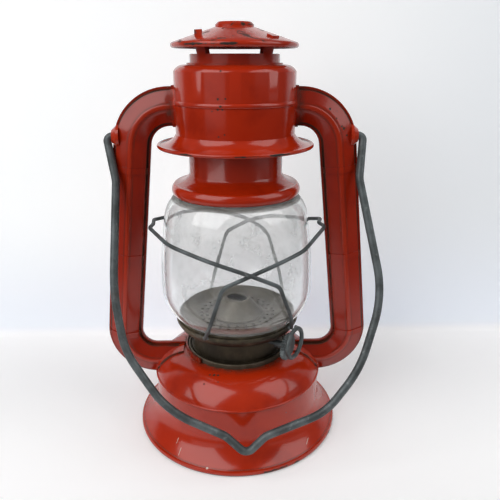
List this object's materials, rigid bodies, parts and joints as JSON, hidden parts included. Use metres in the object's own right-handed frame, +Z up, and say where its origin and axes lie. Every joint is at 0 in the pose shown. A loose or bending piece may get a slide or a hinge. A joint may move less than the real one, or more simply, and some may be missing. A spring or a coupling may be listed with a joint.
{
  "type": "tubular kerosene lantern",
  "caption": "Red tubular kerosene lantern with a flared fount, pressed side tubes, vented hood, clear glass globe in a crossed wire guard, and a swinging wire bail.",
  "frame": {"origin": "on the lantern's axis, in the plane of the base rim's flat underside", "axes": "+Z up along the globe and fount axis, -Y to the front where the bail hangs, X across the two side tubes"},
  "size_m": [0.1461, 0.1178, 0.2163],
  "materials": {
    "red_enamel": "glossy worn red-orange enamel on tinplate",
    "galvanised_wire": "dull grey galvanised wire",
    "burner_metal": "tarnished dark olive bronze",
    "burner_rim": "duller, lighter tarnished metal",
    "globe_glass": "clear pressed glass with a little soot",
    "wick_cotton": "woven cotton, charred at the top",
    "cork": "cork washer"
  },
  "bodies": {
    "frame": {"fount_skirt": "red_enamel", "fount_shoulder": "red_enamel", "fount_bottom": "red_enamel", "filler_neck": "red_enamel", "left_tube_front": "red_enamel", "left_tube_rear": "red_enamel", "left_tube_ferrule": "red_enamel", "left_tube_saddle": "red_enamel", "left_bail_ear": "red_enamel", "right_tube_front": "red_enamel", "right_tube_rear": "red_enamel", "right_tube_ferrule": "red_enamel", "right_tube_saddle": "red_enamel", "right_bail_ear": "red_enamel", "canopy": "red_enamel", "chimney_collar": "red_enamel", "hood": "red_enamel", "burner_ring": "burner_rim", "burner_body": "burner_metal", "wick_tube": "burner_metal"},
    "bail": {"bail": "galvanised_wire"},
    "globe_carriage": {"globe": "globe_glass", "globe_plate": "burner_metal", "air_plate": "burner_metal", "burner_cone": "burner_metal", "crown": "red_enamel", "guard_wire_left": "galvanised_wire", "guard_wire_right": "galvanised_wire", "lift_ring": "galvanised_wire"},
    "wick_drive": {"wick_shaft": "galvanised_wire", "wick_sprockets": "burner_metal", "wick_wheel": "galvanised_wire"},
    "wick": {"wick": "wick_cotton"},
    "cap_gasket": {"cap_gasket": "cork"},
    "filler_cap": {"filler_cap": "red_enamel"}
  },
  "joints": [
    {"name": "bail_swing", "type": "hinge", "parent": "frame", "child": "bail", "pos_m": [0, 0, 0.1635], "axis": [-1, 0, 0], "range_deg": [0, 316]},
    {"name": "globe_lift", "type": "slide", "parent": "frame", "child": "globe_carriage", "axis": [0, 0, 1], "range_m": [0, 0.01]},
    {"name": "wick_turn", "type": "hinge", "parent": "frame", "child": "wick_drive", "pos_m": [-0.00329, -0.00526, 0.0562], "axis": [0.848, -0.5299, 0], "range_deg": [-30, 90]},
    {"name": "wick_rise", "type": "slide", "parent": "frame", "child": "wick", "axis": [0, 0, 1], "range_m": [-0.0024, 0.0071]},
    {"name": "filler_cap_rise", "type": "slide", "parent": "frame", "child": "cap_gasket", "axis": [0, 0.5878, 0.809], "range_m": [0, 0.0041]},
    {"name": "filler_cap_turn", "type": "hinge", "parent": "cap_gasket", "child": "filler_cap", "pos_m": [0, 0.0414, 0.0398], "axis": [0, 0.5878, 0.809], "range_deg": [0, 720]}
  ],
  "couplings": [
    {"joint": "wick_rise", "follows": "wick_turn", "m_per_rad": 0.0045},
    {"joint": "filler_cap_rise", "follows": "filler_cap_turn", "m_per_rad": 0.00031831}
  ]
}
